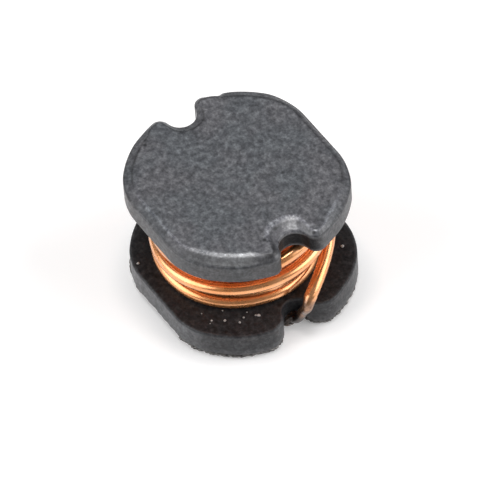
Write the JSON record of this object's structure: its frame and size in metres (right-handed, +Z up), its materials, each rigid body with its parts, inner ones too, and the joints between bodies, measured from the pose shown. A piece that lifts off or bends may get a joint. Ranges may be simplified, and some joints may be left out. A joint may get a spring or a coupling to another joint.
{
  "type": "smd power inductor",
  "caption": "Unshielded surface-mount wirewound power inductor: notched ferrite drum core, enamelled copper winding and soldered terminals under both ends.",
  "frame": {"origin": "middle of the underside, on the plane of the terminals", "axes": "+Z up out of the flat pick-up face; +X towards the notch that the wire's outer end runs down; +Y towards one of the two flats"},
  "size_m": [0.0076, 0.0072, 0.0052],
  "materials": {
    "ferrite": "dark grey sintered ferrite, fine matt grain, slightly burnished pressed edges",
    "enamelled_copper": "copper wire under clear amber enamel, glossy",
    "plated_terminal": "tin-plated pad, dull and darkened at its edges",
    "solder": "solder, satin, with brown flux residue at the notch"
  },
  "bodies": {
    "root": {"drum_core": "ferrite", "winding": "enamelled_copper", "terminal_front": "plated_terminal", "terminal_rear": "plated_terminal", "solder_front": "solder", "solder_rear": "solder"}
  },
  "joints": []
}
